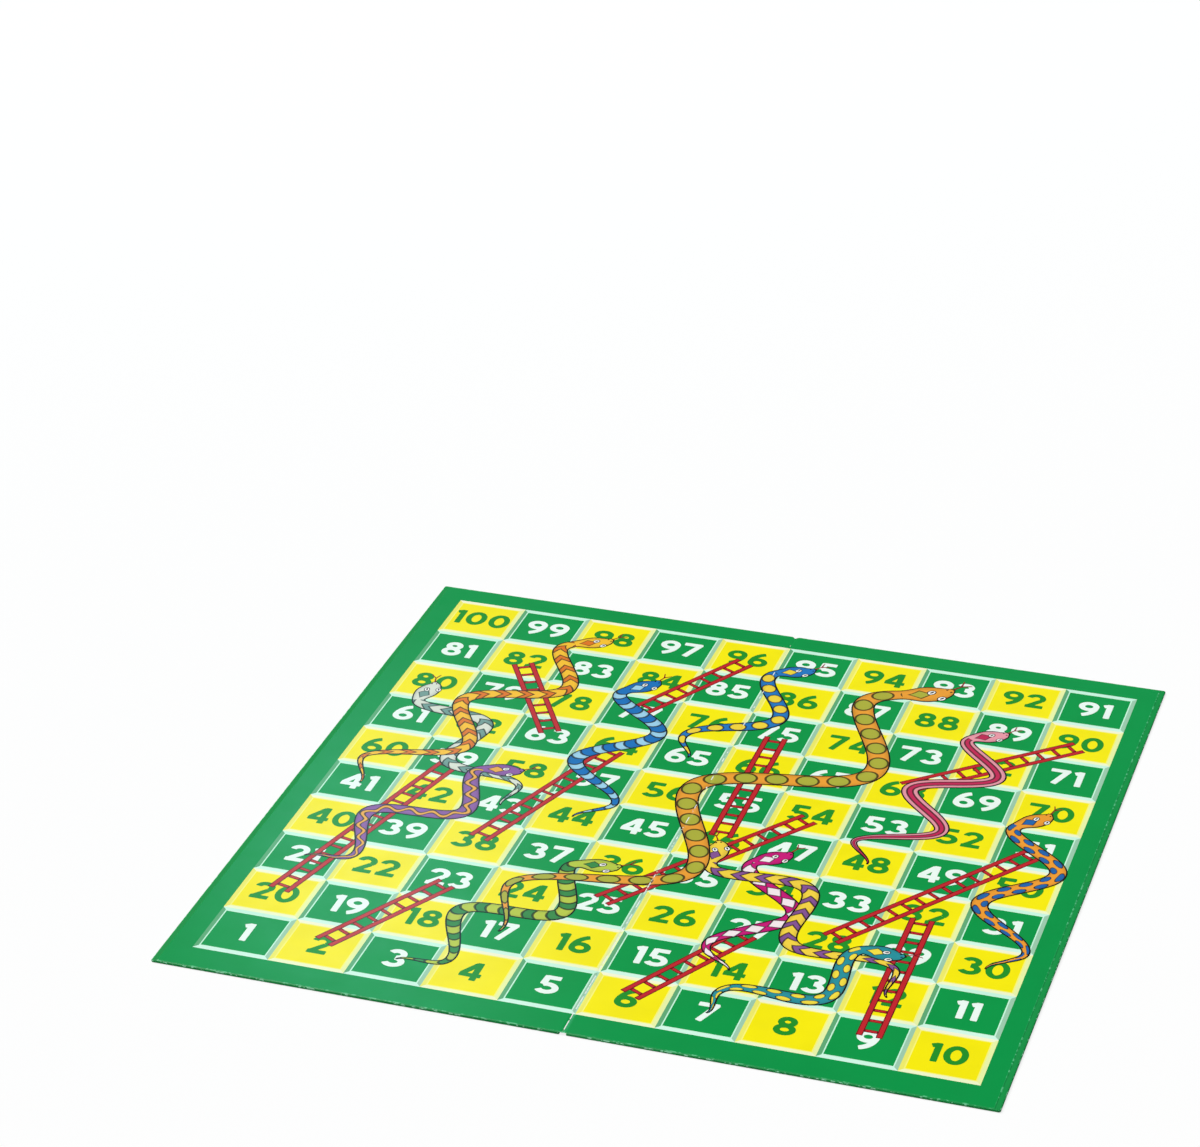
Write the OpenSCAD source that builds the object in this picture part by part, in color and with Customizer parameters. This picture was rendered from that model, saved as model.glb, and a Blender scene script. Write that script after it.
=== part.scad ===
// Folding snakes and ladders board.
// Two greyboard leaves lie side by side. Each is wrapped from below in green paper, whose flaps
// are turned in over the face and pressed flush into the greyboard, and is covered by a printed
// sheet. A strip of cloth, bedded flush under the two sheets, joins the leaves along the fold, so
// the board opens flat and closes face to face. An open channel between the leaves leaves the
// cloth free to bend.
// +X runs along the rows of squares, +Y from the front row to the back row, and +Z is up.
// The origin is the middle of the open board's underside.

/* [Board] */
// Width of the open board, across the fold
board_w = 375; // [200:1:500]
// Depth of the board, along the fold
board_d = 379; // [200:1:500]
// Radius of the board's outer corners, seen from above
corner_r = 1; // [0.6:0.1:4]

/* [Leaves] */
// Thickness of the greyboard in a leaf
core_t = 0.9; // [0.7:0.05:3]
// Width of the open channel between the two wrapped leaves
channel_w = 3; // [2:0.5:8]

/* [Wrap] */
// Thickness of the wrapping paper
wrap_t = 0.15; // [0.1:0.05:0.4]
// Width of the flaps that are turned in over the face of a leaf
flap_w = 14; // [8:0.5:20]
// Gap between two flaps where they meet in a mitre at a corner
mitre_gap = 0.4; // [0.2:0.1:1]

/* [Face sheets] */
// Thickness of a printed sheet
sheet_t = 0.15; // [0.1:0.05:0.4]
// Margin of wrap that shows beside the printed sheets, at the left and right ends of the board
sheet_margin_x = 2.8; // [1.5:0.1:5]
// Margin of wrap that shows before and behind the printed sheets
sheet_margin_y = 0.8; // [0.6:0.1:5]
// Radius of a printed sheet's outer corners
sheet_r = 0.8; // [0.4:0.1:3]
// Gap between the two printed sheets along the fold
fold_gap = 0.3; // [0.2:0.05:1]

/* [Hinge] */
// Width of the hinge cloth, across the fold
hinge_w = 24; // [16:1:40]
// Thickness of the hinge cloth
hinge_t = 0.15; // [0.1:0.05:0.4]
// Gap between the edges of the hinge cloth and the flaps beside it
hinge_gap = 0.2; // [0.1:0.05:0.5]
// Setback of the cloth's bed from the ends of the printed sheets
hinge_setback = 1; // [0.5:0.1:3]

/* [Hidden] */
$fn = 48;

// Overrun of every cut past the face that it leaves through
overrun = 0.5;

// Half sizes of the open board
half_w = board_w / 2;
half_d = board_d / 2;
// Inner edge of a wrapped leaf, at the side of the channel
leaf_in = channel_w / 2;
// Height of the face of a wrapped leaf, on which the printed sheets lie
face_z = wrap_t + core_t;
// Half the width of the bed for the hinge cloth, and half the length of that bed
bed_half_w = hinge_w / 2 + hinge_gap;
bed_half_d = half_d - sheet_margin_y - hinge_setback;
// Size of a cut that is sure to cross a corner's flaps
mitre_len = flap_w * sqrt(2) + corner_r;

// Outline of one right-hand layer: square at the fold, round at its two outer corners
module outline(x_in, x_out, y_half, r) {
    translate([x_in, -y_half])
        square([x_out - r - x_in, 2 * y_half]);
    translate([x_out - r, r - y_half])
        square([r, 2 * (y_half - r)]);
    for (side = [-1, 1])
        translate([x_out - r, side * (y_half - r)])
            circle(r);
}

// The whole right-hand leaf, without its printed sheet
module leaf_block() {
    linear_extrude(face_z)
        outline(leaf_in, half_w, half_d, corner_r);
}

// Bed of the hinge cloth in the face of the right-hand leaf
module hinge_bed() {
    translate([leaf_in - overrun, -bed_half_d, face_z - hinge_t])
        cube([bed_half_w - leaf_in + overrun, 2 * bed_half_d, hinge_t + overrun]);
}

// Bed of the turned-in flaps along the three outer sides of the right-hand greyboard
module flap_bed() {
    translate([0, 0, face_z - wrap_t])
        linear_extrude(wrap_t + overrun)
            difference() {
                translate([0, -half_d])
                    square([half_w, board_d]);
                translate([-overrun, flap_w - half_d])
                    square([half_w - flap_w + overrun, board_d - 2 * flap_w]);
            }
}

// Slits between the flaps at the two outer corners of the right-hand leaf
module mitre_slits() {
    for (side = [-1, 1])
        translate([half_w - corner_r, side * (half_d - corner_r), face_z - wrap_t])
            rotate([0, 0, -side * 135])
                translate([0, -mitre_gap / 2, 0])
                    cube([mitre_len, mitre_gap, wrap_t + overrun]);
}

// Greyboard of the right-hand leaf, pressed down where the flaps and the cloth lie
module leaf_core() {
    difference() {
        translate([0, 0, wrap_t])
            linear_extrude(core_t)
                outline(leaf_in + wrap_t, half_w - wrap_t, half_d - wrap_t, corner_r - wrap_t);
        flap_bed();
        hinge_bed();
    }
}

// Wrap of the right-hand leaf: underside, four edges and three mitred flaps
module leaf_wrap() {
    difference() {
        leaf_block();
        leaf_core();
        hinge_bed();
        mitre_slits();
    }
}

// Printed sheet of the right-hand leaf
module leaf_sheet() {
    translate([0, 0, face_z])
        linear_extrude(sheet_t)
            outline(fold_gap / 2, half_w - sheet_margin_x, half_d - sheet_margin_y, sheet_r);
}

// Turns a right-hand piece into its left-hand twin
module left_hand() {
    mirror([1, 0, 0])
        children();
}

module left_core() {
    color("#a9977d")
        left_hand()
            leaf_core();
}

module right_core() {
    color("#a9977d")
        leaf_core();
}

module left_wrap() {
    color("#0d8a45")
        left_hand()
            leaf_wrap();
}

module right_wrap() {
    color("#0d8a45")
        leaf_wrap();
}

// Strip of cloth that bends at the fold
module hinge_cloth() {
    color("#0b6f39")
        translate([-hinge_w / 2, hinge_gap - bed_half_d, face_z - hinge_t])
            cube([hinge_w, 2 * (bed_half_d - hinge_gap), hinge_t]);
}

module left_face_sheet() {
    color("#f2e21c")
        left_hand()
            leaf_sheet();
}

module right_face_sheet() {
    color("#f2e21c")
        leaf_sheet();
}

left_core();
right_core();
left_wrap();
right_wrap();
hinge_cloth();
left_face_sheet();
right_face_sheet();
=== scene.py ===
"""Looks of a folding snakes and ladders board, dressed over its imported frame.

The board lies open: two wrapped greyboard leaves, a printed sheet on each and a cloth hinge
between them. Lengths are in metres and axes are the frame's own: +X along the rows of squares,
+Y from the front row to the back row and +Z up out of the playing face.
"""

import logging
import math
from collections.abc import Callable, Iterator, Sequence
from contextlib import contextmanager
from dataclasses import dataclass, field
from enum import Enum

import bpy
from mathutils import Color, Matrix, Vector

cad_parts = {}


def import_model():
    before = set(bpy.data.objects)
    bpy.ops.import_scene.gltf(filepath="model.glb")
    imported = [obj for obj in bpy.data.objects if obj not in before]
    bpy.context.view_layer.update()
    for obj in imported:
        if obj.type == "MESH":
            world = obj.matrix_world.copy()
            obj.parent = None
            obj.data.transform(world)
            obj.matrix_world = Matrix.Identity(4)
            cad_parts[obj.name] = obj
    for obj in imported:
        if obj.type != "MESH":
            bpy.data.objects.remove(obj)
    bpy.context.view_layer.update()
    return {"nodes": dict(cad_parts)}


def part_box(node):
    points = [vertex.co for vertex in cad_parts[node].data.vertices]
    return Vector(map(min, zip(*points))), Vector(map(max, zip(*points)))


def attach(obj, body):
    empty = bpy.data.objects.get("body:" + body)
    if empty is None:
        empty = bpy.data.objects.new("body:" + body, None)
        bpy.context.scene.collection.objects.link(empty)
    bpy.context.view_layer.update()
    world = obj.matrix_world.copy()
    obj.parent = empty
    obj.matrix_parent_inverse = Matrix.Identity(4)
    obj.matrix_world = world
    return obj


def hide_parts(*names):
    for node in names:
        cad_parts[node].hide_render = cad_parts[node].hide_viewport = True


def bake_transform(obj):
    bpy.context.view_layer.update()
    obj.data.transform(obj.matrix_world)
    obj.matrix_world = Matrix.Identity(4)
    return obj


LOG = logging.getLogger("board")
STRIP_MAP = "strip"
MM = 0.001
# A distance too small to see
HAIR = 0.001 * MM
Rgba = tuple[float, float, float, float]
Triple = tuple[float, float, float]
Pair = tuple[float, float]


def ink(red: int, green: int, blue: int) -> Rgba:
    """Gives the linear colour of an ink.

    Args:
        red: Red as it looks on paper, 0 to 255.
        green: Green as it looks on paper, 0 to 255.
        blue: Blue as it looks on paper, 0 to 255.

    Returns:
        The colour as shader sockets take it.
    """
    on_paper = Color([level / 255 for level in (red, green, blue)])
    return (*on_paper.from_srgb_to_scene_linear(), 1.0)


PAPER_WHITE = ink(250, 252, 248)
OUTLINE = ink(26, 20, 18)


class Side(Enum):
    """One leaf of the board, by the way it lies from the fold."""

    LEFT = -1
    RIGHT = 1

    @property
    def body(self) -> str:
        """Name of the frame's body for this leaf."""
        return f"{self.name.lower()}_leaf"

    def piece(self, noun: str) -> str:
        """Name of this leaf's own piece, such as left_wrap."""
        return f"{self.name.lower()}_{noun}"


@dataclass(frozen=True)
class Board:
    """Sizes of the open board, read from the frame, and the plan of its squares."""

    leaf_in: float
    half_w: float
    half_d: float
    face_z: float
    sheet_out: float
    sheet_half_d: float
    sheet_top: float
    cloth_half_w: float
    cloth_half_d: float
    cloth_low: float
    corner_r: float = 1.0 * MM
    sheet_corner_r: float = 0.8 * MM
    pitch: float = 35 * MM
    squares_a_side: int = 10
    print_shift_x: float = 0.7 * MM
    print_shift_y: float = 1.0 * MM
    fold_edge: float = 0.004 * MM
    crease_reach: float = 1.5 * MM
    crease_depth: float = 0.1 * MM

    @property
    def print_middle(self) -> Vector:
        """Middle of the hundred squares on the face of the printed sheets."""
        return Vector((self.print_shift_x, self.print_shift_y, self.sheet_top))

    @classmethod
    def from_frame(cls) -> "Board":
        """Reads the sizes of the right-hand leaf and the hinge, which stand for both sides.

        Returns:
            The board.
        """
        wrap_low, wrap_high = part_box("right_wrap")
        _, sheet_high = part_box("right_face_sheet")
        cloth_low, cloth_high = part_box("hinge_cloth")
        return cls(
            leaf_in=wrap_low.x,
            half_w=wrap_high.x,
            half_d=wrap_high.y,
            face_z=wrap_high.z,
            sheet_out=sheet_high.x,
            sheet_half_d=sheet_high.y,
            sheet_top=sheet_high.z,
            cloth_half_w=cloth_high.x,
            cloth_half_d=cloth_high.y,
            cloth_low=cloth_low.z,
        )

    def square(self, number: int) -> Vector:
        """Gives the middle of a numbered square.

        Args:
            number: The square, from 1 at the front left, with every second row running back.

        Returns:
            The middle of the square on the face of the printed sheets.
        """
        row, step = divmod(number - 1, self.squares_a_side)
        last = self.squares_a_side - 1
        column = step if row % 2 == 0 else last - step
        off = Vector((column - last / 2, row - last / 2, 0))
        return self.print_middle + off * self.pitch

    def crease(self, x: float) -> float:
        """Gives how far the face dips at a distance from the fold line."""
        near = max(0.0, 1 - abs(x) / self.crease_reach)
        return self.crease_depth * near * near


@dataclass(frozen=True)
class Mottle:
    """A soft noise: width of its blotches, octaves, and how much finer it is along each axis.

    Its spread is the two levels between which it runs from none to full, or nothing where it is
    left soft.
    """

    size: float
    detail: float = 2.0
    finer: Triple = (1, 1, 1)
    spread: Pair | None = None


class Signal:
    """An output socket whose operators add Math nodes to its shader."""

    def __init__(self, shader: "Shader", socket: bpy.types.NodeSocket) -> None:
        """Wraps a socket of that shader."""
        self.shader = shader
        self.socket = socket

    def math(self, operation: str, *others: "Signal | float") -> "Signal":
        """Adds a Math node.

        Args:
            operation: Blender's name of the operation.
            others: The second and third inputs, where it has them.

        Returns:
            The node's output.
        """
        inputs = dict(enumerate((self, *others)))
        return self.shader.node("ShaderNodeMath", {"operation": operation}, inputs)

    def output(self, name: str | int) -> "Signal":
        """Another output of the same node."""
        return Signal(self.shader, self.socket.node.outputs[name])

    def __add__(self, other: "Signal | float") -> "Signal":
        """Sum."""
        return self.math("ADD", other)

    __radd__ = __add__

    def __mul__(self, other: "Signal | float") -> "Signal":
        """Product."""
        return self.math("MULTIPLY", other)

    __rmul__ = __mul__

    def __sub__(self, other: "Signal | float") -> "Signal":
        """Difference."""
        return self.math("SUBTRACT", other)

    def __rsub__(self, other: float) -> "Signal":
        """Difference from a number, as in 1 - mask."""
        return self * -1.0 + other

    def __truediv__(self, other: "Signal | float") -> "Signal":
        """Quotient."""
        return self.math("DIVIDE", other)

    def __abs__(self) -> "Signal":
        """Size without its sign."""
        return self.math("ABSOLUTE")

    def __lt__(self, other: "Signal | float") -> "Signal":
        """One where this is the smaller, else nought."""
        return self.math("LESS_THAN", other)

    def __gt__(self, other: "Signal | float") -> "Signal":
        """One where this is the larger, else nought."""
        return self.math("GREATER_THAN", other)

    def least(self, other: "Signal | float") -> "Signal":
        """The smaller of the two."""
        return self.math("MINIMUM", other)

    def most(self, other: "Signal | float") -> "Signal":
        """The larger of the two."""
        return self.math("MAXIMUM", other)

    def floor(self) -> "Signal":
        """Whole part."""
        return self.math("FLOOR")

    def fract(self) -> "Signal":
        """What is left above the whole part."""
        return self.math("FRACT")

    def sine(self) -> "Signal":
        """Sine of an angle in radians."""
        return self.math("SINE")

    def root(self) -> "Signal":
        """Square root."""
        return self.math("SQRT")

    def ramp(self, low: float, high: float) -> "Signal":
        """Runs smoothly from nought at low to one at high; low may be the larger."""
        inputs = {"Value": self, "From Min": low, "From Max": high}
        return self.shader.node("ShaderNodeMapRange", {"interpolation_type": "SMOOTHSTEP"}, inputs)


class Shader:
    """A material's node tree, built by expressions."""

    # Sockets of a Mix node that mixes colours
    MIX_SHARE, MIX_UNDER, MIX_OVER, MIX_RESULT = 0, 6, 7, 2

    def __init__(self, name: str) -> None:
        """Starts a material with its Principled node.

        Args:
            name: Name of the material.
        """
        self.material = bpy.data.materials.new(name)
        self.material.use_nodes = True
        self.tree = self.material.node_tree
        self.surface = self.tree.nodes["Principled BSDF"]
        self.place = self.node("ShaderNodeTexCoord", output="Object")
        self.x, self.y, self.z = self.axes(self.place)

    def node(
        self,
        kind: str,
        settings: dict[str, object] | None = None,
        inputs: dict[str | int, object] | None = None,
        output: str | int = 0,
    ) -> Signal:
        """Adds a node.

        Args:
            kind: The node's type.
            settings: Its properties, which are set first.
            inputs: Values or signals for its sockets, by name or number.
            output: The output to give back.

        Returns:
            That output.
        """
        made = self.tree.nodes.new(kind)
        for name, value in (settings or {}).items():
            setattr(made, name, value)
        for name, value in (inputs or {}).items():
            self.feed(made.inputs[name], value)
        return Signal(self, made.outputs[output])

    def feed(self, socket: bpy.types.NodeSocket, value: object) -> None:
        """Links a signal to a socket, or sets the socket's own value.

        Args:
            socket: The input socket.
            value: A signal, or a value that suits the socket.
        """
        if isinstance(value, Signal):
            self.tree.links.new(value.socket, socket)
        else:
            socket.default_value = value

    def axes(self, vector: Signal) -> tuple[Signal, Signal, Signal]:
        """The three parts of a vector."""
        first = self.node("ShaderNodeSeparateXYZ", None, {0: vector})
        return first, first.output(1), first.output(2)

    def mix(self, share: Signal | float, under: object, over: object) -> Signal:
        """Lays one colour over another.

        Args:
            share: How much of the upper colour shows, 0 to 1.
            under: The lower colour.
            over: The upper colour.

        Returns:
            The mixed colour.
        """
        settings = {"data_type": "RGBA", "clamp_factor": True}
        inputs = {self.MIX_SHARE: share, self.MIX_UNDER: under, self.MIX_OVER: over}
        return self.node("ShaderNodeMix", settings, inputs, self.MIX_RESULT)

    def noise(self, mottle: Mottle) -> Signal:
        """Adds a soft noise over the piece.

        Args:
            mottle: Its size and kind.

        Returns:
            The noise, about 0.5 on average where it is left soft.
        """
        scaling = {0: self.place, 1: mottle.finer}
        place = self.node("ShaderNodeVectorMath", {"operation": "MULTIPLY"}, scaling)
        inputs = {"Vector": place, "Scale": 1 / mottle.size, "Detail": mottle.detail}
        soft = self.node("ShaderNodeTexNoise", None, inputs)
        return soft.ramp(*mottle.spread) if mottle.spread else soft

    def bump(self, height: Signal, depth: float) -> None:
        """Raises the surface by a height signal of 0 to 1, with a full step of that depth."""
        inputs = {"Height": height, "Distance": depth, "Strength": 1.0}
        self.set(Normal=self.node("ShaderNodeBump", None, inputs))

    def set(self, **values: object) -> None:
        """Sets or links the Principled node's sockets, spelt with underscores for spaces."""
        for name, value in values.items():
            self.feed(self.surface.inputs[name.replace("_", " ")], value)


@dataclass(frozen=True)
class Laminate:
    """Clear satin film over ink on paper, with the wear of a board that is opened and shut."""

    board: Board
    roughness: float = 0.19
    sheen: float = 0.16
    haze: Mottle = Mottle(14 * MM, 3.0)
    haze_share: float = 0.1
    rub: Mottle = Mottle(1.6 * MM, 3.0, (1, 0.25, 1), (0.62, 0.78))
    rub_share: float = 0.02
    ripple: Mottle = Mottle(7 * MM)
    ripple_share: float = 0.7
    ripple_depth: float = 0.012 * MM
    grain: Mottle = Mottle(0.9 * MM, 1.0)
    density: Mottle = Mottle(22 * MM, 3.0, spread=(0.3, 0.75))
    density_share: float = 0.05
    crack_line: float = 0.46 * MM
    crack_blur: float = 0.25
    crack_thinning: float = 0.35
    crack_runs: Mottle = Mottle(6 * MM, 2.0, (0.1, 1, 0.1))
    crack_fray: Mottle = Mottle(0.5 * MM, 4.0)
    fray_share: float = 0.2
    crack_spread: Pair = (0.6, 0.65)
    crack_share: float = 0.94

    def dress(self, shader: Shader, colour: Signal | Rgba) -> bpy.types.Material:
        """Finishes a printed material.

        Args:
            shader: The material being made.
            colour: Its ink.

        Returns:
            The finished material.
        """
        uneven = shader.noise(self.density) * self.density_share
        dense = shader.mix(uneven, colour, OUTLINE)
        haze = shader.noise(self.haze) * self.haze_share
        rub = shader.noise(self.rub) * self.rub_share
        shader.set(
            Base_Color=shader.mix(self.cracks(shader), dense, PAPER_WHITE),
            Roughness=haze + rub + self.roughness,
            Specular_IOR_Level=self.sheen,
        )
        ripple = shader.noise(self.ripple) * self.ripple_share
        grain = shader.noise(self.grain) * (1 - self.ripple_share)
        shader.bump(ripple + grain, self.ripple_depth)
        return shader.material

    def cracks(self, shader: Shader) -> Signal:
        """Bares the paper where the print has broken along the fold, mostly left of it.

        Args:
            shader: The material being made.

        Returns:
            How much of the white paper shows.
        """
        half = self.crack_line / 2
        blur = half * self.crack_blur
        line = abs(shader.x + half).ramp(half + blur, half - blur)
        runs = shader.noise(self.crack_runs) - shader.y * self.crack_thinning
        fray = shader.noise(self.crack_fray) * self.fray_share
        return line * (runs + fray).ramp(*self.crack_spread) * self.crack_share


@dataclass(frozen=True)
class TileInks:
    """Inks of one kind of square: its panel, the line round that and the four bevelled bands."""

    panel: Rgba
    line: Rgba
    left: Rgba
    right: Rgba
    front: Rgba
    back: Rgba


GREEN_TILE = TileInks(
    panel=ink(10, 153, 72),
    line=ink(206, 252, 226),
    left=ink(98, 172, 120),
    right=ink(160, 206, 176),
    front=ink(214, 252, 234),
    back=ink(205, 250, 228),
)
YELLOW_TILE = TileInks(
    panel=ink(252, 239, 10),
    line=ink(254, 250, 130),
    left=ink(242, 238, 108),
    right=ink(238, 248, 171),
    front=ink(244, 252, 206),
    back=ink(250, 250, 215),
)


@dataclass(frozen=True)
class PlayingFacePrint:
    """Print of the two face sheets: a green border round bevelled squares in two colours."""

    laminate: Laminate
    border: Rgba = ink(10, 151, 72)
    # Pale ink at the cut edges: rubbed wear, and a painted highlight along the edge
    worn: Rgba = ink(122, 230, 172)
    frame_x: float = 2.55 * MM
    frame_y: float = 2.75 * MM
    band_share: float = 0.765
    grid_reach_y: float = 0.25 * MM
    cut_edge: float = 0.32 * MM
    bare: Mottle = Mottle(2.4 * MM, 4.0, spread=(0.5, 0.64))
    bare_share: float = 0.55
    bare_least: float = 0.05

    def material(self) -> bpy.types.Material:
        """Makes the print, with its cut edges and its film.

        Returns:
            The finished material.
        """
        shader = Shader("playing_face_print")
        board = self.laminate.board
        half = board.pitch * board.squares_a_side / 2
        inmost = half - HAIR
        off_x = shader.x - board.print_shift_x
        off_y = shader.y - board.print_shift_y
        across = (off_x + half) / board.pitch
        along = (off_y.most(-inmost).least(inmost) + half) / board.pitch
        squares = self.squares(shader, across, along)
        in_columns = abs(off_x) < half
        in_rows = abs(off_y) < half + self.grid_reach_y
        colour = shader.mix(in_columns * in_rows, self.border, squares)
        # The cut edges turn pale, partly rubbed wear and partly a painted highlight
        return self.laminate.dress(shader, shader.mix(self.bare_edge(shader), colour, self.worn))

    def squares(self, shader: Shader, across: Signal, along: Signal) -> Signal:
        """Draws the squares.

        Args:
            shader: The material being made.
            across: Place along the rows, counted in squares.
            along: Place from row to row, counted in squares.

        Returns:
            The colour of the squares.
        """
        pitch = self.laminate.board.pitch
        odd = ((across.floor() + along.floor()) * 0.5).fract() > 0.25
        left = across.fract() * (pitch / self.frame_x)
        right = (1 - across.fract()) * (pitch / self.frame_x)
        front = along.fract() * (pitch / self.frame_y)
        back = (1 - along.fract()) * (pitch / self.frame_y)
        nearest_side = left.least(right)
        nearest_end = front.least(back)
        inset = nearest_side.least(nearest_end)

        def pick(name: str) -> Signal:
            """The ink of that name for either kind of square."""
            return shader.mix(odd, getattr(GREEN_TILE, name), getattr(YELLOW_TILE, name))

        side_band = shader.mix(left < right, pick("right"), pick("left"))
        end_band = shader.mix(front < back, pick("back"), pick("front"))
        band = shader.mix(nearest_side < nearest_end, end_band, side_band)
        framed = shader.mix(inset > self.band_share, band, pick("line"))
        return shader.mix(inset > 1.0, framed, pick("panel"))

    def bare_edge(self, shader: Shader) -> Signal:
        """Pales the ink along the sheets' cut edges in front, behind and at the right, as rubbed
        wear and as a painted highlight along the edge.

        Args:
            shader: The material being made.

        Returns:
            How much of the pale ink shows, partly wear and partly painted highlight.
        """
        board = self.laminate.board
        to_side = board.sheet_out - shader.x
        to_end = board.sheet_half_d - abs(shader.y)
        bare = shader.noise(self.bare) * self.bare_share + self.bare_least
        return (to_side.least(to_end) < self.cut_edge) * bare


@dataclass(frozen=True)
class FlatInk:
    """One plain ink under the film."""

    name: str
    colour: Rgba
    laminate: Laminate

    def material(self) -> bpy.types.Material:
        """Makes the ink."""
        return self.laminate.dress(Shader(self.name), self.colour)


class Marking(Enum):
    """How a drawn snake is marked along its back."""

    RINGS = "rings"
    CHEVRONS = "chevrons"
    SADDLES = "saddles"
    DIAMONDS = "diamonds"
    DOTS = "dots"
    STRIPE = "stripe"
    WAVE = "wave"


@dataclass(frozen=True)
class SnakeSkin:
    """Inks of a drawn snake. Its map runs along the body in body widths, and across from 0 to 1.

    Lengths of the marks are in half beats and their widths in halves of the body's width. The
    crown's place and length are in body widths.
    """

    name: str
    marking: Marking
    back: Rgba
    mark: Rgba
    laminate: Laminate
    repeat: float = 1.3
    head_length: float = 2.4
    crown_at: float = 1.62
    crown_half: Pair = (0.5, 0.55)
    ring_half: float = 0.45
    ring_bow: float = 0.2
    chevron_half: float = 0.4
    chevron_slope: float = 0.45
    saddle_half: Pair = (0.72, 0.8165)
    diamond_half: float = 0.9
    dot_half: Pair = (0.62, 0.36)
    dot_aside: float = 0.48
    stripe_half: float = 0.34
    wave_half: float = 0.3
    wave_swing: float = 0.42
    mark_blur: float = 0.02
    line: Pair = (0.13, 0.09)
    line_share: float = 0.85
    flank: Pair = (0.35, 1.1)
    flank_share: float = 0.315

    def material(self) -> bpy.types.Material:
        """Makes the skin: markings with drawn edges, shaded towards the flanks.

        Returns:
            The finished material.
        """
        shader = Shader(self.name)
        chart = shader.node("ShaderNodeUVMap", {"uv_map": STRIP_MAP})
        along, across, _ = shader.axes(chart)
        off = across * 2.0 - 1.0
        on_head = along < self.head_length
        crown_length, crown_width = self.crown_half
        crown = 1.0 - abs(along - self.crown_at) / crown_length - abs(off) / crown_width
        inside = crown * on_head + self.inside(along, off) * (1 - on_head)
        colour = shader.mix(inside.ramp(-self.mark_blur, self.mark_blur), self.back, self.mark)
        flanks = abs(off).ramp(*self.flank) * self.flank_share
        drawn = abs(inside).ramp(*self.line) * self.line_share
        shaded = shader.mix(flanks, colour, OUTLINE)
        return self.laminate.dress(shader, shader.mix(drawn, shaded, OUTLINE))

    def inside(self, along: Signal, off: Signal) -> Signal:
        """Gives how far a point lies inside the nearest mark.

        Args:
            along: Distance along the body, in body widths.
            off: Place across the body, from -1 to 1.

        Returns:
            Above nought inside a mark, below it outside.
        """
        side = abs(off)
        beat = along / self.repeat

        def middle(phase: Signal) -> Signal:
            """Distance from the middle of a beat, 0 to 1."""
            return abs(phase.fract() - 0.5) * 2.0

        def oval(length: Signal, width: Signal, half: Pair) -> Signal:
            """How far a point lies inside an oval."""
            reach, height = length / half[0], width / half[1]
            return 1.0 - (reach * reach + height * height).root()

        if self.marking is Marking.RINGS:
            return self.ring_half - middle(beat + off * off * self.ring_bow)
        if self.marking is Marking.CHEVRONS:
            return self.chevron_half - middle(beat - side * self.chevron_slope)
        if self.marking is Marking.SADDLES:
            return oval(middle(beat), off, self.saddle_half)
        if self.marking is Marking.DIAMONDS:
            return self.diamond_half - middle(beat) - side
        if self.marking is Marking.DOTS:
            half_beat = (off > 0.0) * 0.5
            return oval(middle(beat + half_beat), side - self.dot_aside, self.dot_half)
        if self.marking is Marking.STRIPE:
            return self.stripe_half - side
        return self.wave_half - abs(off - (beat * math.tau).sine() * self.wave_swing)


@dataclass(frozen=True)
class WrapPaper:
    """Green wrapping paper, rubbed pale along the board's edges and corners."""

    board: Board
    colour: Rgba = ink(9, 147, 69)
    shade: Rgba = ink(8, 112, 54)
    rubbed: Rgba = ink(150, 222, 182)
    roughness: float = 0.46
    sheen: float = 0.14
    arris: Pair = (-0.55 * MM, -0.2 * MM)
    chips: Mottle = Mottle(2.0 * MM, 6.0)
    chip_lift: float = 0.12
    chip_spread: Pair = (0.66, 0.71)
    chip_roughness: float = 0.25
    mottle: Mottle = Mottle(9 * MM, 3.0, spread=(0.25, 0.75))
    mottle_share: float = 0.12
    fibres: Mottle = Mottle(0.8 * MM, 3.0, (1, 0.3, 1))
    fibre_share: float = 0.08
    fibre_roughness: float = 0.12
    fibre_depth: float = 0.02 * MM

    def material(self) -> bpy.types.Material:
        """Makes the paper: fibres, a soft mottle and worn arrises.

        Returns:
            The finished material.
        """
        shader = Shader("green_wrap_paper")
        board = self.board
        outward = (abs(shader.x) - board.half_w).most(abs(shader.y) - board.half_d)
        upward = abs(shader.z - board.face_z / 2) - board.face_z / 2
        arris = (outward + upward).ramp(*self.arris)
        chips = (shader.noise(self.chips) + arris * self.chip_lift).ramp(*self.chip_spread) * arris
        fibres = shader.noise(self.fibres)
        darker = shader.noise(self.mottle) * self.mottle_share + fibres * self.fibre_share
        paper = shader.mix(darker, self.colour, self.shade)
        rough = fibres * self.fibre_roughness + chips * self.chip_roughness + self.roughness
        shader.set(
            Base_Color=shader.mix(chips, paper, self.rubbed),
            Roughness=rough,
            Specular_IOR_Level=self.sheen,
        )
        shader.bump(fibres, self.fibre_depth)
        return shader.material


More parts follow.
